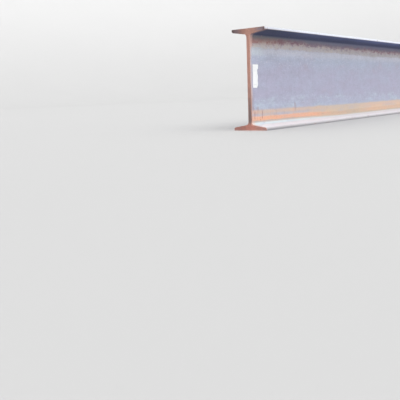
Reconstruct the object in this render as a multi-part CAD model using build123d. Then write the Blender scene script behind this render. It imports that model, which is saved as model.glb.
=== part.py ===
"""A hot-rolled steel I-beam with tapered flanges, six metres long, with its paper stock label.

The beam lies on its lower flange, as it is stored. +X runs along its length, from the end with the
label to the far end. +Y runs across the flanges and +Z points up. The origin is under the middle of
the beam, on the surface that it lies on. All sizes are in millimetres.
"""
from build123d import *
import os

# Section of the beam
section_height = 360.0
flange_width = 140.0
web_thickness = 14.0
# The flange's thickness where it is gauged, halfway between the web's face and the flange's edge
flange_thickness = 15.8
# The flange's inner face rises by this much for each millimetre towards the web
flange_slope = 1 / 6
root_radius = 12.0
toe_radius = 6.0
outer_edge_radius = 2.0

# Stock length, sawn square at both ends
beam_length = 6000.0

# Paper label, stuck on the -Y face of the web near the -X end
label_width = 29.0
label_height = 83.0
label_thickness = 0.3
label_from_end = 14.0
label_above_floor = 152.0
label_corner_radius = 1.5

# A tab at the label's upper far corner, with a slanted lower edge
tab_reach = 7.0
tab_height = 15.0
tab_slant = 6.0

# Two corners of a sketch count as one place when they are this close
same_place = 0.01


def flange_thickness_at(across):
    """Thickness of a flange at a distance from the middle of the web, before any rounding."""
    gauge_line = (flange_width / 2 + web_thickness / 2) / 2
    return flange_thickness + (gauge_line - across) * flange_slope


def mirrored_corners(face, across, depth):
    """The four corners of the section that lie this far from its middle and from its outer faces."""
    found = []
    for corner in face.vertices():
        corner_depth = min(corner.Y, section_height - corner.Y)
        if abs(abs(corner.X) - across) < same_place and abs(corner_depth - depth) < same_place:
            found.append(corner)
    return found


def make_section():
    """The beam's cross-section, standing on its lower flange, with every rolled radius."""
    half_web = web_thickness / 2
    half_flange = flange_width / 2
    edge_thickness = flange_thickness_at(half_flange)
    root_thickness = flange_thickness_at(half_web)

    right_side = [
        (half_flange, 0),
        (half_flange, edge_thickness),
        (half_web, root_thickness),
        (half_web, section_height - root_thickness),
        (half_flange, section_height - edge_thickness),
        (half_flange, section_height),
    ]
    left_side = [(-across, height) for across, height in reversed(right_side)]
    section = make_face(Polyline(*right_side, *left_side, close=True))

    section = fillet(mirrored_corners(section, half_web, root_thickness), root_radius)
    section = fillet(mirrored_corners(section, half_flange, edge_thickness), toe_radius)
    return fillet(mirrored_corners(section, half_flange, 0), outer_edge_radius)


def make_beam():
    """The section, rolled out along the beam's whole length and sawn square."""
    near_end = Plane(origin=(-beam_length / 2, 0, 0), x_dir=(0, 1, 0), z_dir=(1, 0, 0))
    return extrude(near_end * make_section(), beam_length)


def make_label():
    """The sticker: a tall rectangle with a tab, as thick as its paper, flat against the web."""
    near = -beam_length / 2 + label_from_end
    far = near + label_width
    bottom = label_above_floor
    top = bottom + label_height
    outline = Polyline(
        (near, bottom),
        (far, bottom),
        (far, top - tab_height - tab_slant),
        (far + tab_reach, top - tab_height),
        (far + tab_reach, top),
        (near, top),
        close=True,
    )
    paper = make_face(outline)
    paper = fillet(paper.vertices(), label_corner_radius)
    web_face = Plane(origin=(0, -web_thickness / 2, 0), x_dir=(1, 0, 0), z_dir=(0, -1, 0))
    return extrude(web_face * paper, label_thickness)


os.makedirs("parts", exist_ok=True)
export_step(make_beam(), "parts/i_beam.step")
export_step(make_label(), "parts/mill_label.step")
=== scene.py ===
"""Finish of a hot-rolled steel I-beam: its rolled surface, sawn ends, mill scale, rust and paper label.

The beam lies along X on its lower flange, with the labelled end at -X. All sizes are in metres.
"""
import math

import bpy
from bpy.props import FloatProperty, FloatVectorProperty, IntProperty, PointerProperty
from mathutils import Euler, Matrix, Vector


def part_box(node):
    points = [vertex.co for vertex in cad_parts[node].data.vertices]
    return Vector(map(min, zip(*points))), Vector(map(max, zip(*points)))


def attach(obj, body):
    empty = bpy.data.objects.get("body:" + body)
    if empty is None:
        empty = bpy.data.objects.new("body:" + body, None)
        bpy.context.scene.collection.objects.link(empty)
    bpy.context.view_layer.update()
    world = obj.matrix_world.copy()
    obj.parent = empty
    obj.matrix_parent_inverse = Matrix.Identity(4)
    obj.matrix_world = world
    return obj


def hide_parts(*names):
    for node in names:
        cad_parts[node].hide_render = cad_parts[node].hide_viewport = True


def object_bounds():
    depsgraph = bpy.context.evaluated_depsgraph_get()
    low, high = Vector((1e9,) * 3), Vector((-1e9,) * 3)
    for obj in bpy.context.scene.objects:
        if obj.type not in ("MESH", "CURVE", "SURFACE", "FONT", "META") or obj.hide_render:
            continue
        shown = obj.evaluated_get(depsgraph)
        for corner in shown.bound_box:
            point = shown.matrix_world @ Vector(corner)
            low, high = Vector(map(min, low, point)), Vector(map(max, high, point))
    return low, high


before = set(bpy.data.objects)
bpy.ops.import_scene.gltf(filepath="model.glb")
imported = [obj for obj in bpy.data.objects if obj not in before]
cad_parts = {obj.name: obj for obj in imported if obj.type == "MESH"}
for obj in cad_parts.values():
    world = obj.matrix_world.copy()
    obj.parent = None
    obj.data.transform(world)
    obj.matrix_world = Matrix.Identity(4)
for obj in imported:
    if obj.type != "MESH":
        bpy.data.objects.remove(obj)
cad_low, cad_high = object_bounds()
beam_low, beam_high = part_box("i_beam")
label_low, label_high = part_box("mill_label")
label_height = label_high[2] - label_low[2]

bl_info = {
    "name": "Rolled steel I-beam",
    "version": (1, 0, 0),
    "blender": (4, 5, 0),
    "location": "3D View > Sidebar > I-beam",
    "description": "Rolls a taper-flange I-beam, gives it mill scale, rust and a paper label, and lights it",
    "category": "Object",
}

MILLIMETRE = 0.001
NOISE_MIDDLE = 0.5
PICTURE_WIDTH = 400

# A shifted noise moves along x, y and z by these shares of its shift
NOISE_SHIFTS = (1.0, 1.7, 2.3)

# The label's torn side: a share of the height above its foot, then how deep the tear is there
TORN_SIDE = (
    (0.00, 1.00), (0.06, 0.72), (0.13, 0.44), (0.21, 0.38), (0.31, 0.54), (0.40, 0.40),
    (0.50, 0.35), (0.64, 0.66), (0.765, 0.80), (0.83, 0.16), (0.90, 0.10), (1.00, 0.22),
)

# Water marks slope beside a cut: the fall for each metre at the foot, how much of it is lost
# for each metre of height, and the distance from the cut where they run level again
MARKS_FALL = 0.0082
MARKS_FALL_LOST = 0.0276
MARKS_LEVEL_FROM = 0.7

# Marks on the web by their depth below the top: between which two each one lies, or fades out
DARK_ROOT_END = (0.028, 0.045)
BROWN_BAND_END = (0.038, 0.0555)
TAN_HALO = (0.046, 0.0605)
PALE_SCALE_END = (0.074, 0.105)
BLUE_SCALE_END = (0.095, 0.155)

# Marks on the web by their height above the foot
LOWER_BLUE_SCALE_END = (0.080, 0.130)
DAMP_SCALE = (0.085, 0.108)
RUST_SEAM = (0.029, 0.036)
ORANGE_STRIPE = (0.0370, 0.0465)
UNDER_TIDE_LINE = (0.045, 0.060)
TIDE_LINE_START = (0.0485, 0.0585)
TIDE_LINE_END = (0.0675, 0.0775)

# Single runs of rust: their distance from the cut, and the heights between which each one shows
RUST_RUNS = ((0.313, 0.062, 0.088), (0.073, 0.044, 0.068), (0.022, 0.040, 0.062))

# The saw blade's centre, across and above the beam's foot
BLADE_CENTRE = (0.35, -0.62)

# The inputs of the tree that rolls the bar, by the kind of their sockets
BAR_INPUTS = {
    "Geometry": ("Section",),
    "Float": (
        "Length", "Height", "Half width", "Crowding", "Waviness", "Dents", "Saw drag", "Lip", "Scabs",
        "Scab size",
    ),
    "Int": ("Rings", "Seed"),
    "Material": ("Rolled finish", "Sawn finish"),
}


def metres(name, description, default):
    """A size that the user can change."""
    return FloatProperty(name=name, description=description, unit="LENGTH", default=default)


def degrees(name, description, default):
    """An angle that the user can change."""
    return FloatProperty(
        name=name, description=description, subtype="ANGLE", default=math.radians(default),
    )


def tint(name, description, default):
    """A colour that the user can change, as linear red, green and blue."""
    return FloatVectorProperty(
        name=name, description=description, subtype="COLOR", default=default, min=0, max=1,
    )


class SectionSizes(bpy.types.PropertyGroup):
    """Sizes of the rolled section and of the bar that is rolled with it."""

    length: metres("Length", "From sawn end to sawn end", beam_high[0] - beam_low[0])
    height: metres(
        "Height", "From the outer face of one flange to the other", beam_high[2] - beam_low[2],
    )
    flange_width: metres("Flange width", "Across both flanges", beam_high[1] - beam_low[1])
    web: metres("Web", "Thickness of the web", 14 * MILLIMETRE)
    flange: metres(
        "Flange", "Thickness halfway between the web's face and the flange's edge",
        15.8 * MILLIMETRE,
    )
    slope: FloatProperty(
        name="Slope", description="Rise of the flange's inner face for each unit towards the web",
        default=1 / 6,
    )
    root_radius: metres("Root radius", "Where the web meets a flange", 12 * MILLIMETRE)
    toe_radius: metres("Toe radius", "Inner corner of the flange's edge", 6 * MILLIMETRE)
    outer_radius: metres("Outer radius", "Outer corner of the flange's edge", 2 * MILLIMETRE)


class RollingMarks(bpy.types.PropertyGroup):
    """How far the bar departs from a perfect one."""

    rings: IntProperty(
        name="Rings", description="Cross-sections along the bar", default=420, min=2,
    )
    crowding: FloatProperty(
        name="Crowding", description="How much closer the cross-sections are near the ends",
        subtype="FACTOR", default=0.72, min=0, max=0.95,
    )
    waviness: metres("Waviness", "Depth of the long waves left by the rolls", 0.5 * MILLIMETRE)
    dents: metres("Dents", "Depth of the knocks along the flange edges", 1.6 * MILLIMETRE)
    saw_drag: metres("Saw drag", "How uneven the rim of a sawn end is", 0.7 * MILLIMETRE)
    lip: metres("Lip", "Height of the ragged lip of metal left by the saw", 1.2 * MILLIMETRE)
    scabs: FloatProperty(
        name="Scabs", description="Blisters of rust and scale for each square metre of root",
        default=900,
    )
    scab_size: metres("Scab size", "Across the largest blister", 5 * MILLIMETRE)
    seed: IntProperty(name="Seed", description="Changes the places and sizes of the blisters", default=7)


class SteelColours(bpy.types.PropertyGroup):
    """Colours of the scale and the rust, and of the painted sheen and shade."""

    mauve_scale: tint("Mauve scale", "Mill scale in the middle of the web", (0.430, 0.423, 0.556))
    cool_scale: tint("Cool scale", "Bluish mill scale towards the roots", (0.443, 0.488, 0.617))
    bright_scale: tint(
        "Bright scale", "Palest mill scale, just below the upper rust", (0.59, 0.60, 0.695),
    )
    # Pale dust together with a painted sky sheen, on faces that look up and on the flange edges
    dust_and_sheen_scale: tint(
        "Dusty scale", "Faces that look up, and the flange edges", (0.73, 0.71, 0.74),
    )
    # Painted sheen: this bluish white stands in for the sky's reflection on the upper flange's edges
    edge_sheen_scale: tint("Edge scale", "Bluish white of the upper flange's edges", (0.71, 0.745, 0.825))
    rinsed_scale: tint("Rinsed scale", "Whitish cyan in the lower root radius", (0.60, 0.70, 0.74))
    # Painted shade: the dark blue under the upper flange stands in for the shade there
    shaded_scale: tint("Shaded scale", "Dark blue under the upper flange", (0.078, 0.098, 0.205))
    root_scale: tint("Root scale", "Grey-green in the upper root radius", (0.230, 0.232, 0.250))
    brown_rust: tint("Brown rust", "Rust under the upper root", (0.325, 0.145, 0.160))
    plum_rust: tint(
        "Plum rust", "Rust under the upper root, away from the cuts", (0.315, 0.150, 0.200),
    )
    tan_rust: tint("Tan rust", "Thin rust round the edges of thicker rust", (0.66, 0.52, 0.395))
    orange_rust: tint(
        "Orange rust", "Rust where water stands above the lower root", (0.84, 0.46, 0.31),
    )
    sawn_rust: tint("Sawn rust", "Rust on the sawn ends", (0.445, 0.236, 0.195))
    fresh_rust: tint("Fresh rust", "Salmon rust along the rims of the sawn ends", (0.70, 0.375, 0.285))
    red_rust: tint("Red rust", "Damp rust on the sawn ends of the flanges", (0.47, 0.190, 0.150))
    pink_rust: tint("Pink rust", "Thin rust with a mauve bloom", (0.55, 0.40, 0.41))
    dark_rust: tint("Dark rust", "Old rust in pits, stains and saw marks", (0.22, 0.115, 0.095))


class LabelPaper(bpy.types.PropertyGroup):
    """The paper sticker on the web."""

    tear: metres("Tear", "How much paper is torn off the far side at the most", 9 * MILLIMETRE)
    corner: metres("Corner", "Radius of the label's corners", 1.5 * MILLIMETRE)
    curl: metres("Curl", "How far the upper far corner has lifted off the web", 1.6 * MILLIMETRE)
    paper: tint("Paper", "Colour of the paper", (0.95, 0.965, 0.975))
    print_grey: tint("Print", "Colour of the faint ruled lines", (0.62, 0.64, 0.66))
    soil: tint("Soil", "Colour of the dirt along the rim and in spots", (0.70, 0.66, 0.60))


class StageSettings(bpy.types.PropertyGroup):
    """Floor, light and camera."""

    floor: tint("Floor", "Colour of the floor", (0.50, 0.50, 0.50))
    flat_radius: metres("Floor radius", "Where the floor starts to curve up", 14)
    cove_radius: metres("Cove", "Radius of the curve between floor and wall", 6)
    wall_height: metres("Wall height", "Top of the wall", 9)
    sky: FloatProperty(name="Sky", description="Strength of the light from all round", default=1.17)
    sun: FloatProperty(name="Sun", description="Strength of the large soft light", default=1.5)
    sun_width: degrees("Sun width", "How wide the soft light is", 60)
    camera_back: metres("Back", "Camera's distance beyond the labelled end", 1.796)
    camera_aside: metres("Aside", "Camera's distance from the web's plane", 1.215)
    camera_height: metres("Camera height", "Above the floor", 0.130)
    heading: degrees("Heading", "Angle between the beam and the camera's direction", 39.18)
    tilt: degrees("Tilt", "How far the camera looks down", 9.93)
    roll: degrees("Roll", "How far the camera is turned about its own axis", -2.34)
    focal_pixels: FloatProperty(
        name="Focal length", description="In pixels of a picture 400 pixels wide", default=591.8,
    )


class Wire:
    """A socket in a node tree. Arithmetic on wires adds Math nodes, and node() adds any other node."""

    def __init__(self, tree, socket=None):
        self.tree = tree
        self.socket = socket

    def node(self, kind, inputs=None, **settings):
        """Adds a node: its type, then the values or links of its sockets, then its settings."""
        made = self.tree.nodes.new(kind)
        # The settings decide which sockets are enabled, so they are set first
        for name, value in settings.items():
            setattr(made, name, value)
        for name, value in (inputs or {}).items():
            named = [each for each in made.inputs if each.name == name and each.enabled]
            socket = made.inputs[name] if isinstance(name, int) else named[0]
            if isinstance(value, Wire):
                self.tree.links.new(value.socket, socket)
            else:
                socket.default_value = value
        shown = [each for each in made.outputs if each.enabled]
        return Wire(self.tree, shown[0] if shown else None)

    def __getitem__(self, name):
        """Another output of the node that this wire comes from."""
        shown = [each for each in self.socket.node.outputs if each.name == name and each.enabled]
        return Wire(self.tree, shown[0])

    def math(self, operation, *values):
        """A Math node on this wire and up to two more values."""
        return self.node("ShaderNodeMath", dict(enumerate((self, *values))), operation=operation)

    def vector_math(self, operation, *values):
        """A Vector Math node on this wire and up to two more values."""
        return self.node("ShaderNodeVectorMath", dict(enumerate((self, *values))), operation=operation)

    def at_least(self, other):
        """The larger of two values."""
        return self.math("MAXIMUM", other)

    def at_most(self, other):
        """The smaller of two values."""
        return self.math("MINIMUM", other)

    def swing(self, amount):
        """A noise moved to lie about 0, and made as wide as an amount."""
        return (self - NOISE_MIDDLE) * amount

    def __add__(self, other):
        return self.math("ADD", other)

    def __sub__(self, other):
        return self.math("SUBTRACT", other)

    def __rsub__(self, other):
        return self.math("MULTIPLY_ADD", -1.0, other)

    def __mul__(self, other):
        return self.math("MULTIPLY", other)

    def __truediv__(self, other):
        return self.math("DIVIDE", other)

    def __neg__(self):
        return self.math("MULTIPLY", -1.0)

    def __abs__(self):
        return self.math("ABSOLUTE")

    def __gt__(self, other):
        return self.math("GREATER_THAN", other)

    def __lt__(self, other):
        return self.math("LESS_THAN", other)

    __radd__ = __add__
    __rmul__ = __mul__


def rise(wire, low, high):
    """0 below one value, 1 above the other, and smooth between them."""
    inputs = {"Value": wire, "From Min": low, "From Max": high}
    return wire.node("ShaderNodeMapRange", inputs, interpolation_type="SMOOTHSTEP")


def fall(wire, low, high):
    """1 below one value, 0 above the other, and smooth between them."""
    return 1 - rise(wire, low, high)


def band(wire, low, high, soft):
    """1 between two values, fading to 0 over a soft margin outside them."""
    return rise(wire, low - soft, low) * fall(wire, high, high + soft)


def noise(place, grain, detail=3.0, roughness=0.55, shift=0.0):
    """Cloudy noise from 0 to 1. grain is the number of clouds for each metre along x, y and z."""
    moved = place.vector_math("MULTIPLY_ADD", grain, [shift * share for share in NOISE_SHIFTS])
    inputs = {"Vector": moved, "Scale": 1.0, "Detail": detail, "Roughness": roughness}
    return place.node("ShaderNodeTexNoise", inputs)


def parts_of(vector):
    """The three parts of a vector."""
    parts = vector.node("ShaderNodeSeparateXYZ", {"Vector": vector})
    return parts["X"], parts["Y"], parts["Z"]


def vector_of(given, along, across, height):
    """A vector made of three parts."""
    return given.node("ShaderNodeCombineXYZ", {"X": along, "Y": across, "Z": height})


def scaled(vector, amount):
    """A vector made longer, or a colour made lighter, by a factor that changes from place to place."""
    return amount.node("ShaderNodeVectorMath", {0: vector, "Scale": amount}, operation="SCALE")


def mixed(first, second, share):
    """The same mix of two plain colours everywhere."""
    return [one + (other - one) * share for one, other in zip(first, second)]


def blend(under, over, share):
    """One colour over another, where each is a wire or a plain colour, and the share is a wire."""
    under, over = (each if isinstance(each, Wire) else (*each, 1.0) for each in (under, over))
    inputs = {"Factor": share, "A": under, "B": over}
    return share.node("ShaderNodeMix", inputs, data_type="RGBA")


class Finish:
    """A material in the making: Object coordinates, and the colour as laid so far."""

    def __init__(self, name):
        self.material = bpy.data.materials.new(name)
        self.material.use_nodes = True
        self.material.node_tree.nodes.clear()
        coordinates = Wire(self.material.node_tree).node("ShaderNodeTexCoord")
        self.place = coordinates["Object"]
        self.facing = coordinates["Normal"]
        self.along, self.across, self.height = parts_of(self.place)
        self.colour = None

    def noise(self, grain, detail=3.0, roughness=0.55, shift=0.0):
        """Cloudy noise on the piece's own coordinates."""
        return noise(self.place, grain, detail, roughness, shift)

    def swings(self, **amounts):
        """A sum of the finish's noises, each moved to lie about 0 and made as wide as its amount."""
        together = [getattr(self, name).swing(amount) for name, amount in amounts.items()]
        return sum(together[1:], start=together[0])

    def lay(self, colour, share):
        """Lays a colour over what is there."""
        self.colour = blend(self.colour, colour, share)

    def shade(self, amount):
        """Makes what is there darker or lighter by a factor."""
        self.colour = scaled(self.colour, amount)

    def finished(self, roughness, relief=None, depth=0.0, strength=1.0):
        """The material with its shader and output, and with a bump of some depth if it has a relief."""
        inputs = {"Base Color": self.colour, "Roughness": roughness}
        if relief is not None:
            bump = {"Height": relief, "Distance": depth, "Strength": strength}
            inputs["Normal"] = relief.node("ShaderNodeBump", bump)
        shader = self.place.node("ShaderNodeBsdfPrincipled", inputs)
        shader.node("ShaderNodeOutputMaterial", {"Surface": shader})
        return self.material


class SteelFinish(Finish):
    """A finish of the bar, with the parts of its section that the layers ask for."""

    def __init__(self, name, sizes, colours):
        super().__init__(name)
        self.sizes = sizes
        self.colours = colours
        self.side = abs(self.across)

    def upper(self, low, high):
        """0 below one depth under the top, 1 above a smaller one, and smooth between them."""
        return rise(self.height, self.sizes.height - low, self.sizes.height - high)

    def lower(self, low, high):
        """1 below one height over the foot, 0 above a greater one, and smooth between them."""
        return fall(self.height, low, high)


class RolledSteel(SteelFinish):
    """Mill scale with rust along both roots, pale upper faces of dust and painted sheen, painted shade under
    the upper flange, and a rusty stripe at each end.
    """

    def __init__(self, sizes, colours):
        super().__init__("rolled_steel", sizes, colours)
        self.up = parts_of(self.facing)[2]
        self.from_end = sizes.length / 2 - abs(self.along)
        self.rough_rust = []
        self.blue_root = mixed(colours.mauve_scale, colours.shaded_scale, 0.55)
        self.mix_noises()
        self.find_stretches()
        self.find_faces()
        self.find_water_marks()

    def mix_noises(self):
        """Noises from the largest clouds to the finest grain, then streaks, flakes and blotches."""
        stretches = self.noise((1.1, 2, 2), 3, 0.6, shift=10.1)
        self.uneven = stretches.swing(rise(self.from_end, 1.3, 2.1))
        self.clouds = self.noise((1.6, 5, 5), 3, shift=4.1)
        self.tints = self.noise((9, 22, 22), 3, shift=5.9)
        self.mottle = self.noise((18, 42, 42), 4)
        self.clots = self.noise((36, 80, 80), 3, 0.6, shift=6.9)
        self.dapple = self.noise((55, 85, 85), 2, shift=6.6)
        self.specks = self.noise((120, 190, 190), 3, 0.6, shift=1.3)
        self.crust = self.noise((300, 360, 360), 3, 0.65, shift=3.9)
        self.grain = self.noise((650, 800, 800), 2, 0.6)
        self.lanes = self.noise((1.2, 70, 1), 3, 0.6, shift=9.4)
        self.streaks = self.noise((3.5, 260, 260), 3, 0.6, shift=2.2)
        self.runs = self.noise((75, 75, 7), 3, 0.6, shift=3.3)
        self.flakes = rise(self.noise((60, 100, 100), 5, 0.68, shift=8.8), 0.575, 0.60)
        self.patches = self.mottle + self.swings(clouds=0.7, specks=0.5)
        blotted = self.clots * 0.26 + self.dapple * 0.36 + self.specks * 0.38
        self.blotted = blotted + self.swings(tints=0.20)
        self.blotches = rise(self.blotted, 0.455, 0.525)

    def find_stretches(self):
        """Stretches of the bar, by the distance from a cut."""
        self.further = rise(self.from_end + self.swings(clouds=0.5), 0.30, 0.75)
        self.near_cut = 1 - self.further
        self.first_stretch = fall(self.from_end, 0.08, 0.24)
        self.browner = fall(self.from_end, 0.26, 0.46)

    def find_faces(self):
        """Flange edges, faces that look up or down, and where pale dust and a painted sheen lie on them."""
        edge_start = self.sizes.flange_width / 2 - 0.009
        self.edge = rise(self.side, edge_start, edge_start + 0.006) * fall(-self.up, 0.28, 0.70)
        self.upward = rise(self.up, 0.04, 0.50)
        # The underside of the upper flange, where the painted shade lies
        self.under = rise(-self.up, 0.12, 0.98) * (1 - self.edge) * self.upper(0.16, 0.06)
        bare = rise(self.mottle + self.swings(clouds=0.8, specks=0.3), 0.56, 0.80)
        # Paler faces that look up, and the flange edges: pale dust together with a painted sky sheen
        self.dust_and_sheen = self.upward.at_least(self.edge) * (0.98 - bare * 0.50)

    def find_water_marks(self):
        """Places of the marks on the web: they slope beside the cuts, and wander with the noises."""
        slope = MARKS_FALL - self.height * MARKS_FALL_LOST
        self.level = self.height + self.from_end.at_most(MARKS_LEVEL_FROM) * slope
        self.from_top = self.sizes.height - self.level
        wander = self.swings(mottle=0.012, runs=0.005, clouds=0.010) + self.uneven * 0.045
        self.above_foot = self.level + wander * 0.55
        below_top = self.from_top + wander - self.first_stretch * 0.005 - self.further * 0.003
        below_top = below_top - rise(self.from_end, 0.76, 0.95) * 0.003
        self.below_top = below_top + fall(self.from_end, 0.045, 0.085) * 0.002

    def mill_scale(self):
        """Lavender in the middle of the web, bluer towards the roots, and palest near the top."""
        colours = self.colours
        near_root = fall(self.from_top, *BLUE_SCALE_END) + fall(self.level, *LOWER_BLUE_SCALE_END)
        coolness = near_root * 0.75 + self.swings(clouds=1.2, tints=1.8) + 0.1
        self.colour = blend(colours.mauve_scale, colours.cool_scale, coolness)
        top_glow = fall(self.from_top, *PALE_SCALE_END)
        self.lay(colours.bright_scale, top_glow * (0.96 + self.swings(mottle=0.5)))
        self.lay(colours.pink_rust, rise(1 - self.tints, 0.56, 0.74) * 0.10)
        cut_glow = band(self.from_top, 0.070, 0.086, 0.014) * fall(self.from_end, 0.060, 0.110)
        self.lay(colours.rinsed_scale, cut_glow * 0.36)
        flecked = 0.10 + fall(self.from_top, 0.085, 0.170) * 0.55
        flecked = flecked + band(self.level, 0.085, 0.105, 0.015) * 0.20
        self.lay(colours.dust_and_sheen_scale, rise(self.specks, 0.57, 0.68) * flecked)
        damp = rise(self.dapple * 0.4 + self.tints * 0.6, 0.46, 0.64)
        damp = damp * band(self.level, *DAMP_SCALE, 0.020) * rise(self.from_end, 0.015, 0.050)
        self.lay(colours.rinsed_scale, damp * 0.28)
        tone = 1 + self.swings(mottle=0.22, streaks=0.12, specks=0.26, runs=0.12, dapple=0.20)
        self.shade(tone - self.flakes * 0.06 + self.uneven * 0.45 - flecked * 0.010)

    def pale_dust_and_sheen(self):
        """Pale dust and a painted sky sheen on the faces that look up and on the flange edges, worn through
        in places, and painted shade along the lower flange's edge.
        """
        colours = self.colours
        low_down = self.lower(0.10, 0.20)
        rinsed = fall(self.side, 0.014, 0.026) * low_down * (0.85 - self.further * 0.45)
        # The colour of the pale dust together with the painted sheen, cyan-white near the lower root and
        # bluish white on the upper flange's edges
        dust = blend(colours.dust_and_sheen_scale, colours.rinsed_scale, rinsed)
        dust = blend(dust, colours.edge_sheen_scale, self.edge * self.upper(0.26, 0.06))
        # Painted highlight: the outer parts of the faces and the flange edges are lighter, the edges most of
        # all away from a cut
        sheen_lift = rise(self.side, 0.030, 0.050) * 0.04
        sheen_lift = sheen_lift + self.edge * (0.04 + rise(self.from_end, 0.10, 0.32) * 0.17)
        dulled = self.further * fall(self.side, 0.034, 0.060) * low_down * 0.10
        tone = 1 + self.swings(mottle=0.12) + sheen_lift - dulled
        self.lay(scaled(dust, tone), self.dust_and_sheen)
        # Painted shade: the lower flange's edge darkens towards the foot
        shaded_lower_edge = self.edge * self.lower(0.0, 0.021)
        self.shade(1 - shaded_lower_edge * 0.58)

    def top_face(self):
        """The top is greyer than the rest, with roll streaks, stains and rust near the cuts."""
        colours = self.colours
        stain = rise(self.clouds + self.swings(mottle=0.5, lanes=0.5), 0.44, 0.66)
        scale = blend(colours.cool_scale, colours.dust_and_sheen_scale, 0.42 - stain * 0.34)
        tone = 0.80 + self.swings(mottle=0.22, dapple=0.18, lanes=0.22)
        ragged_end = self.from_end + self.swings(mottle=0.10, specks=0.03)
        rust = fall(ragged_end, 0.01, 0.11) * 0.8
        rust = rust.at_least(rise(self.patches, 0.62, 0.76) * 0.6)
        scale = blend(scaled(scale, tone), colours.sawn_rust, rust)
        self.lay(scale, rise(self.up, 0.60, 0.95) * self.upper(0.020, 0.008))

    def resting_face(self):
        """The face that the beam rests on is scuffed and rusty where it lay on timber."""
        colours = self.colours
        scuffs = rise(self.clouds + self.swings(lanes=0.9, mottle=0.4), 0.50, 0.66)
        rust = blend(colours.sawn_rust, colours.root_scale, scuffs * 0.85)
        resting = rise(-self.up, 0.60, 0.95) * self.lower(0.004, 0.010)
        self.lay(rust, resting * (0.30 + self.patches * 0.55))

    def tan_halo(self):
        """The upper rust starts with a thin tan halo, with strays of brown in it."""
        under_band = band(self.below_top, 0.054, 0.0605, 0.009) * (1 - self.first_stretch * 0.4)
        self.shade(1 - under_band * (0.06 + rise(self.from_end, 0.30, 0.90) * 0.13))
        halo = band(self.below_top + self.first_stretch * 0.003, *TAN_HALO, 0.008)
        halo = halo * (0.48 - self.blotches * 0.24) * (1 - rise(self.from_end, 0.60, 0.90) * 0.30)
        self.lay(self.colours.tan_rust, halo)
        strays = rise(self.dapple * 0.6 + self.specks * 0.4, 0.54, 0.62)
        strays = strays * band(self.below_top, 0.046, 0.064, 0.008)
        self.lay(self.colours.brown_rust, strays * 0.36)

    def brown_band(self):
        """Above the halo lie brown blotches on tan, bluer and fainter at some distance from a cut."""
        colours = self.colours
        fainter = band(self.from_end, 0.48, 0.74, 0.12)
        plum = blend(colours.brown_rust, colours.plum_rust, rise(self.from_end, 0.15, 0.30))
        plum = blend(plum, self.blue_root, fainter * 0.42)
        browned = 0.30 + self.blotches * 0.62 + self.browner * (0.24 - self.blotches * 0.16)
        pale = mixed(colours.tan_rust, colours.pink_rust, 0.50)
        brown = blend(pale, plum, browned * (1 - fainter * 0.06))
        brown = blend(brown, colours.fresh_rust, self.first_stretch * 0.30)
        foot = self.below_top - self.first_stretch * 0.001 - self.swings(blotted=0.055)
        upper_band = fall(foot, *BROWN_BAND_END)
        self.lay(brown, upper_band * (1 - self.dust_and_sheen) * 0.90)
        self.rough_rust.append(upper_band)

    def dark_root(self):
        """The upper root radius is dark, grey-green beside a cut and blue further on."""
        bluer = rise(self.from_end, 0.16, 0.40) * 0.55 + self.further * 0.25
        colour = blend(self.colours.root_scale, self.blue_root, bluer)
        foot = self.below_top + self.browner * 0.004 + self.swings(clots=0.012)
        root = fall(foot, *DARK_ROOT_END) * (1 - self.dust_and_sheen)
        speckled = rise(self.dapple * 0.5 + self.specks * 0.5, 0.46, 0.58)
        speckled = speckled * rise(self.below_top, 0.022, 0.034)
        self.lay(colour, root * (0.92 - speckled * 0.44))

    def underside(self):
        """Painted shade under the upper flange: dark blue, a little paler towards its edge, with some dark
        rust near each cut.
        """
        # How much paler the painted shade grows towards the flange's edge; near a cut it is darker there
        # instead
        shade_paling = rise(self.from_end, 0.05, 0.35) * 0.46 + rise(self.from_end, 0.5, 1.2) * 0.46 - 0.15
        tone = 0.66 + rise(self.from_end, 0.05, 1.1) * 0.12 + rise(self.side, 0.020, 0.070) * shade_paling
        tone = tone * (1 + self.swings(mottle=0.5, streaks=0.4))
        self.lay(scaled(self.colours.shaded_scale, tone), self.under * (1 - self.dust_and_sheen))
        self.lay(self.colours.dark_rust, fall(self.from_end, 0.008, 0.035) * self.under * 0.16)

    def lower_rust(self):
        """A paler tide line over an orange stripe, and a tan seam along the root radius."""
        colours = self.colours
        line = rise(self.above_foot - self.near_cut * 0.004, *TIDE_LINE_START)
        line = line * fall(self.above_foot, *TIDE_LINE_END) * 0.92
        between = band(self.above_foot, *UNDER_TIDE_LINE, 0.006)
        tide = line.at_least(between * (0.54 + self.further * 0.36 + self.swings(tints=1.2)))
        redness = self.near_cut * 0.22 + fall(self.from_end, 0.03, 0.06) * 0.35
        rust = blend(colours.tan_rust, colours.orange_rust, redness)
        self.lay(rust, tide * (0.88 + self.swings(tints=0.8) + self.uneven * 1.6))

        seam = band(self.level, *RUST_SEAM, 0.004)
        self.lay(colours.tan_rust, seam * (0.60 + self.further * 0.25))
        self.shade(1 - seam * (0.09 + self.further * 0.13))

        redness = 0.06 + self.near_cut * 0.94 + self.swings(mottle=0.8) - self.uneven * 1.5
        rust = blend(colours.tan_rust, colours.orange_rust, redness)
        lowered = self.further * 0.005 - rise(self.from_end, 0.6, 1.0) * 0.003
        stripe = band(self.above_foot + lowered, *ORANGE_STRIPE, 0.006)
        cover = 0.94 + self.swings(mottle=0.4, tints=0.5) + self.uneven * 1.6
        self.lay(scaled(rust, 1 - self.further * 0.08), stripe * cover)
        self.rough_rust.append(stripe)

        far_bands = tide.at_least(stripe) * rise(self.from_end, 0.86, 1.06)
        self.lay(colours.orange_rust, far_bands * 0.25)
        self.shade(1 + far_bands * 0.05)

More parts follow.
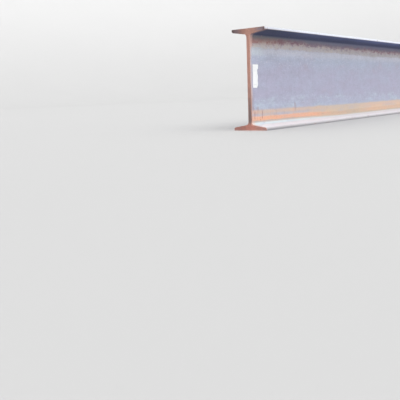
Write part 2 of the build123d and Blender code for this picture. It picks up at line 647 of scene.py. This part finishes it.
    def rust_runs(self):
        """Thin runs of rust down the lower bands: many small ones, and a few that stand alone."""
        thin = self.noise((190, 190, 9), 3, 0.6, shift=7.7)
        more = fall(self.from_end, 0.03, 0.07) * 0.05
        drips = rise(thin + more, 0.64, 0.70) * band(self.level, 0.040, 0.078, 0.012)
        for from_cut, low, high in RUST_RUNS:
            off_line = abs(self.from_end - from_cut + self.swings(dapple=0.007))
            width = (self.level - low) * 0.10 + 0.0036
            run = fall(off_line / width, 0.35, 1.15)
            run = run * band(self.level + thin.swing(0.030), low, high, 0.007)
            drips = drips.at_least(run * (0.25 + thin * 1.3))
        red_drips = rise(1 - thin, 0.60, 0.68) * band(self.level, 0.038, 0.072, 0.010)
        self.lay(self.colours.fresh_rust, red_drips * self.near_cut * 0.55)
        self.lay(self.colours.brown_rust, drips * (0.20 + self.near_cut * 0.36))

    def edges_and_pits(self):
        """Rust on the flange edges and in small pits."""
        edge_rust = self.edge * rise(self.mottle + self.swings(specks=0.5), 0.58, 0.74)
        self.lay(self.colours.sawn_rust, edge_rust * 0.4)
        pits = rise(self.specks + self.swings(mottle=0.55), 0.70, 0.82)
        self.lay(self.colours.dark_rust, pits * 0.40)
        self.rough_rust += [edge_rust, pits]

    def cut_stripe(self):
        """A narrow stripe of bloom beside each cut, redder at the top and at the foot."""
        colours = self.colours
        beside_cut = self.from_end + self.swings(mottle=0.012, specks=0.006)
        stripe = fall(beside_cut - self.upper(0.07, 0.05) * 0.006, 0.005, 0.014)
        bloom = mixed(colours.pink_rust, colours.dust_and_sheen_scale, 0.36)
        bloom = blend(bloom, colours.fresh_rust, self.upper(0.09, 0.05) * 0.60)
        upper_edge = self.edge * self.upper(0.06, 0.02)
        cover = 0.84 - self.lower(0.06, 0.10) * 0.38
        cover = cover * (1 - self.under * 0.7) * (1 - upper_edge * 0.9)
        self.lay(bloom, stripe * cover)
        self.rough_rust.append(stripe)

        at_cut = fall(self.from_end, 0.010, 0.026)
        orange_foot = band(self.height, 0.024, 0.044, 0.010) * at_cut
        self.lay(colours.orange_rust, orange_foot * 0.34)
        dull_foot = band(self.height, 0.082, 0.112, 0.016) * at_cut
        self.lay(colours.sawn_rust, dull_foot * 0.20)
        self.shade(1 - dull_foot * 0.08)
        red_foot = self.lower(0.08, 0.20) * fall(self.from_end, 0.002, 0.006)
        self.lay(colours.sawn_rust, red_foot * (1 - self.upward) * 0.8)

    def crusted(self):
        """The finished material, with the scabs' own mark and a crust where the rust is thick."""
        scab = self.place.node("ShaderNodeAttribute", attribute_name="scab")["Fac"]
        self.lay(self.colours.sawn_rust, scab * 0.55)
        rusty = self.rough_rust[0]
        for mask in self.rough_rust[1:]:
            rusty = rusty.at_least(mask)
        self.shade(1 + self.swings(grain=0.16 + rusty * 0.20, crust=rusty * 0.55))
        roughness = 0.48 + self.swings(mottle=0.18, streaks=0.10) + rusty * 0.34
        relief = self.grain * (0.25 + rusty * 0.75) + (self.specks + self.crust) * rusty
        relief = relief + self.specks * 0.3 + self.streaks * 0.3 - self.flakes * 0.35
        return self.finished(roughness.at_most(0.95), relief, depth=0.0006, strength=0.55)


def rolled_steel(sizes, colours):
    """The rolled surface, layer by layer."""
    steel = RolledSteel(sizes, colours)
    steel.mill_scale()
    steel.pale_dust_and_sheen()
    steel.top_face()
    steel.resting_face()
    steel.tan_halo()
    steel.brown_band()
    steel.dark_root()
    steel.underside()
    steel.lower_rust()
    steel.rust_runs()
    steel.edges_and_pits()
    steel.cut_stripe()
    return steel.crusted()


class SawnSteel(SteelFinish):
    """The cut ends: rusty, with the curved marks of a large round saw and paler rims, which carry a painted
    highlight on the lit side.
    """

    def __init__(self, sizes, colours):
        super().__init__("sawn_steel", sizes, colours)
        self.mottle = self.noise((55, 55, 55), 4, shift=5.0)
        self.crust = self.noise((380, 380, 380), 3, 0.7, shift=8.0)
        self.grain = self.noise((900, 900, 900), 2, 0.6)
        self.from_face = self.height.at_most(sizes.height - self.height)
        self.find_parts()
        self.find_runs()

    def find_parts(self):
        """The rim, the web and its foot, both flanges, and the flanges' tips."""
        self.rim = fall(self.rim_depth() + self.swings(mottle=0.004), 0.0008, 0.0036)
        self.in_web = rise(self.from_face, 0.016, 0.034)
        self.foot = fall(self.height + self.swings(mottle=0.08), 0.04, 0.17)
        self.lower_flange = fall(self.height + self.swings(mottle=0.010), 0.018, 0.034)
        self.upper_flange = self.upper(0.032, 0.014)
        self.far_half = rise(self.across, 0.008, 0.030) * self.upper_flange
        self.towards_tip = rise(self.side + self.swings(mottle=0.03), 0.018, 0.052)

    def rim_depth(self):
        """How deep a place lies inside the section's outline, in metres."""
        half_flange = self.sizes.flange_width / 2
        half_web = self.sizes.web / 2
        gauge_line = (half_flange + half_web) / 2
        inner_face = self.sizes.flange + (gauge_line - self.side) * self.sizes.slope
        in_flange = self.from_face.at_most(inner_face - self.from_face)
        in_flange = in_flange.at_most(half_flange - self.side)
        return in_flange.at_least(half_web - self.side)

    def find_runs(self):
        """Rust that has run down the web, and stands in round spots on the flanges."""
        spots = self.noise((110, 110, 110), 4, 0.65, shift=7.0)
        drips = self.noise((170, 170, 14), 3, 0.6, shift=6.0)
        self.runs = spots + (drips - spots) * self.in_web
        self.patches = rise(self.runs * 0.5 + self.mottle * 0.5, 0.42, 0.60)

    def saw_marks(self):
        """Coarse and fine arcs about the centre of the blade, which came from below and beside."""
        coarse_turns, fine_turns = 900, 4600  # radians for each metre of radius
        across = self.across - BLADE_CENTRE[0]
        height = self.height - BLADE_CENTRE[1]
        radius = (across * across + height * height).math("SQRT")
        coarse = (radius * coarse_turns + self.mottle * 5).math("SINE") * 0.5 + 0.5
        fine = (radius * fine_turns + self.mottle * 9).math("SINE") * 0.5 + 0.5
        return coarse, fine

    def web_and_flanges(self):
        """Salmon in the upper web and where the flanges meet it, mauve towards the flange tips."""
        colours = self.colours
        near_web = 1 - self.towards_tip
        salmon = rise(self.height + self.swings(mottle=0.16), 0.12, 0.27) * near_web
        fresher = self.patches * 0.34 + salmon * 0.18
        self.colour = blend(colours.sawn_rust, colours.fresh_rust, fresher)
        redder = self.lower_flange * (0.92 - rise(-self.across, 0.005, 0.040) * 0.54)
        self.lay(colours.red_rust, redder)
        upper_part = self.upper(0.26, 0.06)
        bloom = self.towards_tip * (0.05 + upper_part * 0.50 + self.patches * 0.30)
        self.lay(colours.pink_rust, bloom)
        self.lay(colours.mauve_scale, self.towards_tip * upper_part * 0.42)
        middle = self.upper(0.028, 0.015) * near_web
        self.lay(colours.fresh_rust, middle * (self.patches * 0.30 + 0.12))
        self.lay(colours.red_rust, self.far_half * 0.24)

    def rims_and_stains(self, marks):
        """Salmon rims with a painted highlight on the lit side, which is the label's side, dark stains and
        marks, and a worn lowest rim.
        """
        colours = self.colours
        # Painted highlight: the rims are brighter on the lit side, towards -Y
        lit_side = rise(-self.across, -0.004, 0.006)
        self.lay(colours.fresh_rust, self.rim * (0.25 + lit_side * 0.50))
        stains = rise(self.runs + self.swings(mottle=0.5), 0.46, 0.64)
        self.lay(colours.dark_rust, stains * 0.55)
        worn_rim = fall(self.height + self.swings(mottle=0.002), 0.0015, 0.0045)
        self.lay(colours.pink_rust, worn_rim * 0.34)
        self.lay(colours.root_scale, self.foot * self.in_web * (1 - self.rim * 0.6) * 0.50)
        self.lay(colours.dark_rust, marks * rise(self.mottle, 0.35, 0.6) * 0.16)
        self.lay(colours.dark_rust, rise(self.crust, 0.60, 0.72) * 0.45)
        self.lay(colours.tan_rust, rise(1 - self.crust, 0.62, 0.74) * 0.30)

    def tones(self):
        """The upper flange and the foot of the web are darker, and the lower flange is lighter. Partly
        painted light and shade: the upper flange is darker, most of all its far half, and the lower flange
        lighter on its lit side.
        """
        darker = self.upper(0.035, 0.015) * (0.12 + self.towards_tip * 0.24)
        tone = 1 - darker + self.swings(patches=0.14)
        tone = tone - rise(self.side, 0.054, 0.068) * self.upper(0.06, 0.02) * 0.20
        # Painted shade on the upper flange's far half, and painted light on the lower flange's lit side,
        # towards -Y
        tone = tone - self.upper_flange * rise(self.side, 0.004, 0.014) * 0.08 - self.far_half * 0.12
        tone = tone + self.lower_flange * rise(-self.across, -0.010, 0.010) * 0.08
        lighter = 0.14 - rise(self.side, 0.008, 0.045) * 0.20 - rise(self.across, 0.008, 0.045) * 0.06
        tone = tone - self.foot * self.in_web * 0.36 + self.lower_flange * lighter
        self.shade(tone * (1 + self.swings(grain=0.3, crust=0.4)))


def sawn_steel(sizes, colours):
    """The sawn surface, layer by layer."""
    steel = SawnSteel(sizes, colours)
    marks, fine_marks = steel.saw_marks()
    steel.web_and_flanges()
    steel.rims_and_stains(marks)
    steel.tones()
    relief = marks * 0.5 + fine_marks * 0.25 + steel.grain * 0.4 + steel.crust * 0.8
    relief = relief + steel.mottle * 0.5
    return steel.finished(0.78 + steel.swings(runs=0.2), relief, depth=0.0006, strength=0.5)


def label_paper(label):
    """White paper with a few faint ruled lines and a soiled rim."""
    paper = Finish("label_paper")
    fibre = paper.noise((1400, 1400, 1400), 3, 0.6)
    soil = paper.noise((60, 60, 60), 3, shift=2.0)

    mean_width = label_high[0] - label_low[0] - label.tear * 0.6
    inset = (paper.along - label_low[0]) / mean_width
    down = (label_high[2] - paper.height) / label_height
    row_count = 18
    rows = (down * row_count).math("FRACT")
    row_lines = band(rows, 0.44, 0.56, 0.10) * band(down, 0.06, 0.30, 0.01)
    foot_line = band(down, 0.84, 0.86, 0.01)
    ink = band(inset, 0.14, 0.80, 0.02) * (row_lines + foot_line)
    rim = 1 - band(down, 0.03, 0.97, 0.03) * rise(inset, 0.0, 0.08)

    paper.colour = blend(label.paper, label.print_grey, ink * 0.45)
    paper.lay(label.soil, rise(soil, 0.56, 0.8) * 0.18 + rim * 0.12)
    paper.shade(1 + fibre.swing(0.06))
    return paper.finished(0.62 + fibre.swing(0.1), fibre + soil * 2, depth=0.0002, strength=0.3)


def stage_paint(stage):
    """Plain pale matt paint, a little uneven, and lighter up the wall."""
    paint = Finish("stage_paint")
    cloud = paint.noise((0.7, 0.7, 0.7), 2)
    lighter = rise(paint.height, 0.0, stage.cove_radius) * 0.45
    paint.colour = scaled(stage.floor, 1 + lighter + cloud.swing(0.03))
    return paint.finished(0.85)


def rounded_corner(corner, before, after, radius, steps):
    """Points of the arc that rounds a corner between its two neighbours."""
    to_before = (before - corner).normalized()
    to_after = (after - corner).normalized()
    half_angle = to_before.angle(to_after) / 2
    reach = radius / math.tan(half_angle)
    centre = corner + (to_before + to_after).normalized() * radius / math.sin(half_angle)
    first = (corner + to_before * reach - centre).normalized()
    last = (corner + to_after * reach - centre).normalized()
    return [centre + first.slerp(last, step / steps) * radius for step in range(steps + 1)]


def section_outline(sizes):
    """The rolled section, anticlockwise, as (across, height) points with every radius."""
    half_web = sizes.web / 2
    half_flange = sizes.flange_width / 2
    gauge_line = (half_flange + half_web) / 2
    edge = sizes.flange + (gauge_line - half_flange) * sizes.slope
    root = sizes.flange + (gauge_line - half_web) * sizes.slope
    right_side = [
        (half_flange, 0, sizes.outer_radius, 4),
        (half_flange, edge, sizes.toe_radius, 6),
        (half_web, root, sizes.root_radius, 8),
        (half_web, sizes.height - root, sizes.root_radius, 8),
        (half_flange, sizes.height - edge, sizes.toe_radius, 6),
        (half_flange, sizes.height, sizes.outer_radius, 4),
    ]
    left_side = [(-across, *rest) for across, *rest in reversed(right_side)]
    corners = right_side + left_side
    places = [Vector(corner[:2]) for corner in corners]
    longest_step = 0.018
    outline = []
    for index, (*_, radius, steps) in enumerate(corners):
        before = places[index - 1]
        after = places[(index + 1) % len(corners)]
        arc = rounded_corner(places[index], before, after, radius, steps)
        if outline:
            outline += straight_between(outline[-1], arc[0], longest_step)
        outline += arc
    return outline + straight_between(outline[-1], outline[0], longest_step)


def straight_between(first, last, longest_step):
    """Evenly spaced points between two others, without the two."""
    steps = max(1, math.ceil((last - first).length / longest_step))
    return [first.lerp(last, step / steps) for step in range(1, steps)]


def rolling_tree():
    """Sweeps a section along the bar, wears it, and adds the saw's lip and rust scabs."""
    tree = bpy.data.node_groups.new("rolled_bar", "GeometryNodeTree")
    for kind, names in BAR_INPUTS.items():
        for name in names:
            tree.interface.new_socket(name, in_out="INPUT", socket_type="NodeSocket" + kind)
    tree.interface.new_socket("Bar", in_out="OUTPUT", socket_type="NodeSocketGeometry")
    given = Wire(tree).node("NodeGroupInput")

    section = given.node("GeometryNodeMeshToCurve", {"Mesh": given["Section"]})
    bar = worn_surface(given, swept_bar(given, section))
    shape = joined(given, (rust_scabs(given, bar), saw_lip(given, section), bar))
    shape = given.node("GeometryNodeRealizeInstances", {"Geometry": shape})
    cut = cut_faces(given)
    for faces, smooth in ((1 - cut, True), (cut, False)):
        inputs = {"Geometry": shape, "Selection": faces, "Shade Smooth": smooth}
        shape = given.node("GeometryNodeSetShadeSmooth", inputs)
    lip = given.node("GeometryNodeInputNamedAttribute", {"Name": "lip"}, data_type="FLOAT")
    for faces, finish in ((True, "Rolled finish"), (cut.at_least(lip), "Sawn finish")):
        inputs = {"Geometry": shape, "Selection": faces, "Material": given[finish]}
        shape = given.node("GeometryNodeSetMaterial", inputs)
    given.node("NodeGroupOutput", {"Bar": shape})
    return tree


def joined(given, parts):
    """Several shapes as one."""
    whole = given.node("GeometryNodeJoinGeometry")
    for part in parts:
        given.tree.links.new(part.socket, whole.socket.node.inputs["Geometry"])
    return whole


def cut_faces(given):
    """1 on the two sawn faces, which look along the bar."""
    nearly_square = 0.97
    facing = parts_of(given.node("GeometryNodeInputNormal"))[0]
    return abs(facing) > nearly_square


def swept_bar(given, section):
    """The section along a straight line, with its cross-sections closer together at the ends."""
    line = given.node("GeometryNodeCurvePrimitiveLine", {"Start": (0, 0, 0), "End": (1, 0, 0)})
    inputs = {"Curve": line, "Count": given["Rings"]}
    line = given.node("GeometryNodeResampleCurve", inputs, mode="COUNT")
    share = parts_of(given.node("GeometryNodeInputPosition"))[0]
    turn = 2 * math.pi
    eased = share - (share * turn).math("SINE") * given["Crowding"] / turn
    placed = vector_of(given, (eased - 0.5) * given["Length"], 0.0, 0.0)
    path = given.node("GeometryNodeSetPosition", {"Geometry": line, "Position": placed})
    inputs = {"Curve": path, "Profile Curve": section, "Fill Caps": True}
    return given.node("GeometryNodeCurveToMesh", inputs)


def worn_surface(given, bar):
    """Presses waves, knocks and an uneven sawn rim into the bar, always inwards."""
    place = given.node("GeometryNodeInputPosition")
    along, across = parts_of(place)[:2]
    waves = rise(noise(place, (3.5, 9, 9), 2), 0.40, 0.75)
    knocks = rise(noise(place, (22, 30, 30), 2, shift=8.0), 0.60, 0.78)
    knocked_width = 0.010
    near_edge = rise(abs(across), given["Half width"] - knocked_width, given["Half width"])
    depth = given["Waviness"] * waves + given["Dents"] * near_edge * knocks
    facing = parts_of(given.node("GeometryNodeInputNormal"))
    outward = vector_of(given, 0.0, *facing[1:]).vector_math("NORMALIZE")
    pressed = scaled(outward, -depth)

    at_end = abs(along) > given["Length"] / 2 - 0.1 * MILLIMETRE
    chips = rise(noise(place, (160, 160, 160), 2, shift=9.0), 0.45, 0.75)
    drag = given["Saw drag"] * at_end * chips
    pulled = vector_of(given, -(drag * along.math("SIGN")), 0.0, 0.0)
    offset = pulled.vector_math("ADD", pressed)
    return given.node("GeometryNodeSetPosition", {"Geometry": bar, "Offset": offset})


def saw_lip(given, section):
    """A ragged lip of metal round the inner outline of both sawn ends."""
    point_spacing = 1.6 * MILLIMETRE
    sunk_share = 0.35
    lowest_share = 0.15
    inputs = {"Curve": section, "Length": point_spacing}
    dense = given.node("GeometryNodeResampleCurve", inputs, mode="LENGTH")
    tangent = parts_of(given.node("GeometryNodeInputTangent"))
    drawn = parts_of(given.node("GeometryNodeInputPosition"))
    sunk = given["Lip"] * sunk_share
    across = tangent[1] * sunk - drawn[0]
    height = -tangent[0] * sunk - drawn[1]
    rings = []
    for side in (-1, 1):
        end_plane = (given["Length"] / 2 - given["Lip"] * 0.5) * side
        placed = vector_of(given, end_plane, across, height)
        rings.append(given.node("GeometryNodeSetPosition", {"Geometry": dense, "Position": placed}))

    place = given.node("GeometryNodeInputPosition")
    ring_across, ring_height = parts_of(place)[1:]
    margin = given["Lip"] * 2 + 0.002
    inner = abs(ring_across) < given["Half width"] - margin
    above = ring_height > margin
    below = ring_height < given["Height"] - margin
    ragged = rise(noise(place, (150, 150, 150), 3, 0.7, shift=11.0), 0.44, 0.70)
    size = given["Lip"] * (lowest_share + inner * above * below * ragged * (1 - lowest_share))
    inputs = {"Width": 0.7, "Bottom Height": 1.0, "Top Height": 1.0}
    kite = given.node("GeometryNodeCurvePrimitiveQuadrilateral", inputs, mode="KITE")
    inputs = {"Curve": joined(given, rings), "Profile Curve": kite, "Scale": size}
    return marked(given.node("GeometryNodeCurveToMesh", inputs), "lip", "FACE")


def marked(shape, name, domain):
    """A shape that carries 1 under a name, by which a finish or a choice of faces finds it."""
    inputs = {"Geometry": shape, "Name": name, "Value": 1.0}
    return shape.node("GeometryNodeStoreNamedAttribute", inputs, data_type="FLOAT", domain=domain)


def rust_scabs(given, bar):
    """Flat blisters of rust and scale, thickest along the roots and on the flange edges."""
    place = given.node("GeometryNodeInputPosition")
    along, across, height = parts_of(place)
    from_outside = height.at_most(given["Height"] - height)
    root = band(from_outside, 0.024, 0.052, 0.012)
    edge = rise(abs(across), given["Half width"] - 0.008, given["Half width"] - 0.002)
    clusters = rise(noise(place, (9, 26, 26), 3, shift=12.0), 0.46, 0.66)
    clear_of_end = given["Length"] / 2 - abs(along) > 0.006
    clear_outside = from_outside > 0.008
    clear_of_edge = abs(across) < given["Half width"] - 0.004
    share = root.at_least(edge * 0.15) * clusters * clear_of_end * (clear_outside * clear_of_edge)
    inputs = {"Mesh": bar, "Density": share * given["Scabs"], "Seed": given["Seed"]}
    spread = given.node("GeometryNodeDistributePointsOnFaces", inputs, distribute_method="RANDOM")

    smallest_share = 0.25
    length_share = 1.3
    thickness_share = 0.16
    blister = given.node("GeometryNodeMeshIcoSphere", {"Radius": 0.5, "Subdivisions": 1})
    size = random_value(given, smallest_share, 1.0) * given["Scab size"]
    placed = given.node("GeometryNodeInstanceOnPoints", {
        "Points": spread["Points"],
        "Instance": blister["Mesh"],
        "Rotation": spread["Rotation"],
        "Scale": vector_of(given, size * length_share, size, size * thickness_share),
    })
    spin = vector_of(given, 0.0, 0.0, random_value(given, 0.0, math.pi))
    turned = given.node("GeometryNodeRotateInstances", {"Instances": placed, "Rotation": spin})
    return marked(turned, "scab", "INSTANCE")


def random_value(given, low, high):
    """A random number for each blister, from the bar's own seed."""
    inputs = {"Min": low, "Max": high, "Seed": given["Seed"]}
    return given.node("FunctionNodeRandomValue", inputs, data_type="FLOAT")


def give_inputs(modifier, values):
    """Sets a modifier's named inputs by the identifiers of their sockets."""
    for item in modifier.node_group.interface.items_tree:
        if item.item_type == "SOCKET" and item.in_out == "INPUT" and item.name in values:
            modifier[item.identifier] = values[item.name]


def plain_mesh(shape, name):
    """A new object with what a shape's modifiers make of it, and no modifier."""
    seen = shape.evaluated_get(bpy.context.evaluated_depsgraph_get())
    mesh = bpy.data.meshes.new_from_object(seen)
    bpy.data.objects.remove(shape)
    mesh.name = name
    return add_object(name, mesh)


def add_object(name, data):
    """Links a mesh, a light or a camera into the scene as an object at the origin."""
    made = bpy.data.objects.new(name, data)
    bpy.context.scene.collection.objects.link(made)
    return made


def roll_bar(sizes, marks, colours):
    """The beam: its section, swept along the length and finished."""
    outline = section_outline(sizes)
    # The sweep turns the drawing's axes to -Y and -Z, so the section is drawn upside down
    drawn = [(-across, -height, 0) for across, height in outline]
    loop = [(index, (index + 1) % len(drawn)) for index in range(len(drawn))]
    mesh = bpy.data.meshes.new("section")
    mesh.from_pydata(drawn, loop, [])
    bar = add_object("section", mesh)
    modifier = bar.modifiers.new("rolling", "NODES")
    modifier.node_group = rolling_tree()
    give_inputs(modifier, {
        "Length": sizes.length,
        "Height": sizes.height,
        "Half width": sizes.flange_width / 2,
        "Rings": marks.rings,
        "Crowding": marks.crowding,
        "Waviness": marks.waviness,
        "Dents": marks.dents,
        "Saw drag": marks.saw_drag,
        "Lip": marks.lip,
        "Scabs": marks.scabs,
        "Scab size": marks.scab_size,
        "Seed": marks.seed,
        "Rolled finish": rolled_steel(sizes, colours),
        "Sawn finish": sawn_steel(sizes, colours),
    })
    return plain_mesh(bar, "rolled_beam")


def label_sides(label, height):
    """Where the label's two sides are at a height above its foot, with its corners rounded."""
    far = label_high[0] - label.tear * torn_off(height / label_height)
    to_end = min(height, label_height - height)
    cut = 0.0
    if to_end < label.corner:
        cut = label.corner - math.sqrt(label.corner ** 2 - (label.corner - to_end) ** 2)
    return label_low[0] + cut, far - cut


def torn_off(share):
    """How deep the tear is, from 0 to 1, at a share of the label's height above its foot."""
    for (low, below), (high, above) in zip(TORN_SIDE, TORN_SIDE[1:]):
        if share <= high:
            part = (share - low) / (high - low)
            return below + (above - below) * part * part * (3 - 2 * part)
    return 0.0


def label_lift(label, along, height):
    """How far the sheet stands off the web: two opposite corners have lifted, and it is creased."""
    top_reach = 0.022
    foot_reach = 0.016
    from_top_corner = math.hypot(label_high[0] - along, label_height - height)
    from_foot_corner = math.hypot(along - label_low[0], height)
    top_lift = label.curl * max(0, 1 - from_top_corner / top_reach) ** 2
    foot_lift = label.curl * 0.4 * max(0, 1 - from_foot_corner / foot_reach) ** 2
    creases = 0.12 * MILLIMETRE * (1 + math.sin(height * 260 + along * 90))
    return top_lift + foot_lift + creases


def make_label(label):
    """A sheet of rows and columns that follows the label's outline, with closer rows at its corners."""
    rows, columns, corner_rows = 60, 26, 6
    heights = [label.corner * (step / corner_rows) ** 2 for step in range(corner_rows)]
    straight = label_height - 2 * label.corner
    heights += [label.corner + straight * step / rows for step in range(rows + 1)]
    heights += [label_height - height for height in reversed(heights[:corner_rows])]
    points = []
    for height in heights:
        near, far = label_sides(label, height)
        for column in range(columns + 1):
            along = near + (far - near) * column / columns
            face = label_high[1] - label_lift(label, along, height)
            points.append((along, face, label_low[2] + height))
    width = columns + 1
    faces = []
    for row in range(len(heights) - 1):
        for column in range(columns):
            first = row * width + column
            faces.append((first, first + 1, first + width + 1, first + width))
    mesh = bpy.data.meshes.new("paper_label")
    mesh.from_pydata(points, [], faces)
    mesh.shade_smooth()
    sheet = add_object("label_sheet", mesh)
    thickness = sheet.modifiers.new("paper", "SOLIDIFY")
    thickness.thickness = label_high[1] - label_low[1]
    thickness.offset = 1.0
    sheet.data.materials.append(label_paper(label))
    return plain_mesh(sheet, "paper_label")


def make_stage(stage):
    """A round floor that curves up into a low wall all round."""
    around = 96
    cove_steps = 16
    flat_rings = (1 / 7, 3 / 7, 5 / 7, 1)
    profile = [(stage.flat_radius * share, 0.0) for share in flat_rings]
    for step in range(1, cove_steps + 1):
        angle = math.pi / 2 * step / cove_steps
        profile.append((
            stage.flat_radius + stage.cove_radius * math.sin(angle),
            stage.cove_radius * (1 - math.cos(angle)),
        ))
    profile.append((stage.flat_radius + stage.cove_radius, stage.wall_height))
    points = [(0, 0, 0)]
    for radius, height in profile:
        for step in range(around):
            angle = 2 * math.pi * step / around
            points.append((radius * math.cos(angle), radius * math.sin(angle), height))
    faces = [(0, 1 + step, 1 + (step + 1) % around) for step in range(around)]
    for ring in range(len(profile) - 1):
        inner = 1 + ring * around
        outer = inner + around
        for step in range(around):
            beside = (step + 1) % around
            faces.append((inner + step, outer + step, outer + beside, inner + beside))
    mesh = bpy.data.meshes.new("stage_floor")
    mesh.from_pydata(points, [], faces)
    mesh.shade_smooth()
    mesh.materials.append(stage_paint(stage))
    return add_object("stage_floor", mesh)


def light_stage(stage):
    """Even light from all round, and one large soft light high in front of the label."""
    world = bpy.data.worlds.new("sky")
    world.use_nodes = True
    background = world.node_tree.nodes["Background"]
    background.inputs["Color"].default_value = (1.0, 1.0, 1.0, 1)
    background.inputs["Strength"].default_value = stage.sky
    bpy.context.scene.world = world
    lamp = bpy.data.lights.new("soft_sun", "SUN")
    lamp.energy = stage.sun
    lamp.angle = stage.sun_width
    towards_light = Vector((-0.45, -0.75, 1.1))
    sun = add_object("soft_sun", lamp)
    sun.rotation_euler = towards_light.to_track_quat("Z", "Y").to_euler()


def aim_camera(stage):
    """The camera, low in front of the labelled end, looking along the beam to the right."""
    data = bpy.data.cameras.new("camera")
    data.sensor_width = 36
    data.lens = data.sensor_width * stage.focal_pixels / PICTURE_WIDTH
    camera = add_object("camera", data)
    camera.location = (cad_low[0] - stage.camera_back, -stage.camera_aside, stage.camera_height)
    ahead = Vector((
        math.cos(stage.tilt) * math.cos(stage.heading),
        math.cos(stage.tilt) * math.sin(stage.heading),
        -math.sin(stage.tilt),
    ))
    camera.rotation_mode = "QUATERNION"
    turned = Euler((0, 0, stage.roll)).to_quaternion()
    camera.rotation_quaternion = ahead.to_track_quat("-Z", "Y") @ turned
    bpy.context.scene.camera = camera


class IBEAM_OT_roll_beam(bpy.types.Operator):
    """Roll the beam, saw its ends and give it scale and rust"""

    bl_idname = "ibeam.roll_beam"
    bl_label = "Roll beam"

    def execute(self, context):
        scene = context.scene
        beam = roll_bar(scene.ibeam_section, scene.ibeam_marks, scene.ibeam_colours)
        if not beam.data.polygons:
            raise RuntimeError("the sweep made no faces")
        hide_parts("i_beam")
        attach(beam, "root")
        return {"FINISHED"}


class IBEAM_OT_stick_label(bpy.types.Operator):
    """Stick the paper label on the web, with two of its corners a little lifted"""

    bl_idname = "ibeam.stick_label"
    bl_label = "Stick label"

    def execute(self, context):
        label = make_label(context.scene.ibeam_label)
        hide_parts("mill_label")
        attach(label, "root")
        return {"FINISHED"}


class IBEAM_OT_set_stage(bpy.types.Operator):
    """Lay the floor, light it and aim the camera"""

    bl_idname = "ibeam.set_stage"
    bl_label = "Set stage"

    def execute(self, context):
        stage = context.scene.ibeam_stage
        make_stage(stage)
        light_stage(stage)
        aim_camera(stage)
        context.scene.view_settings.view_transform = "Standard"
        return {"FINISHED"}


class IBEAM_PT_beam(bpy.types.Panel):
    """Makes each part of the scene"""

    bl_label = "I-beam"
    bl_space_type = "VIEW_3D"
    bl_region_type = "UI"
    bl_category = "I-beam"

    def draw(self, context):
        for operator in (IBEAM_OT_roll_beam, IBEAM_OT_stick_label, IBEAM_OT_set_stage):
            self.layout.operator(operator.bl_idname)


SETTINGS = {
    "ibeam_section": SectionSizes,
    "ibeam_marks": RollingMarks,
    "ibeam_colours": SteelColours,
    "ibeam_label": LabelPaper,
    "ibeam_stage": StageSettings,
}
CLASSES = (
    *SETTINGS.values(), IBEAM_OT_roll_beam, IBEAM_OT_stick_label, IBEAM_OT_set_stage, IBEAM_PT_beam,
)


def register():
    """Adds the classes and the settings."""
    for each in CLASSES:
        bpy.utils.register_class(each)
    for name, group in SETTINGS.items():
        setattr(bpy.types.Scene, name, PointerProperty(type=group))


def unregister():
    """Takes the settings and the classes away again."""
    for name in SETTINGS:
        delattr(bpy.types.Scene, name)
    for each in reversed(CLASSES):
        bpy.utils.unregister_class(each)


def main():
    """Makes the whole scene."""
    register()
    bpy.ops.ibeam.roll_beam()
    bpy.ops.ibeam.stick_label()
    bpy.ops.ibeam.set_stage()


if __name__ == "__main__":
    main()
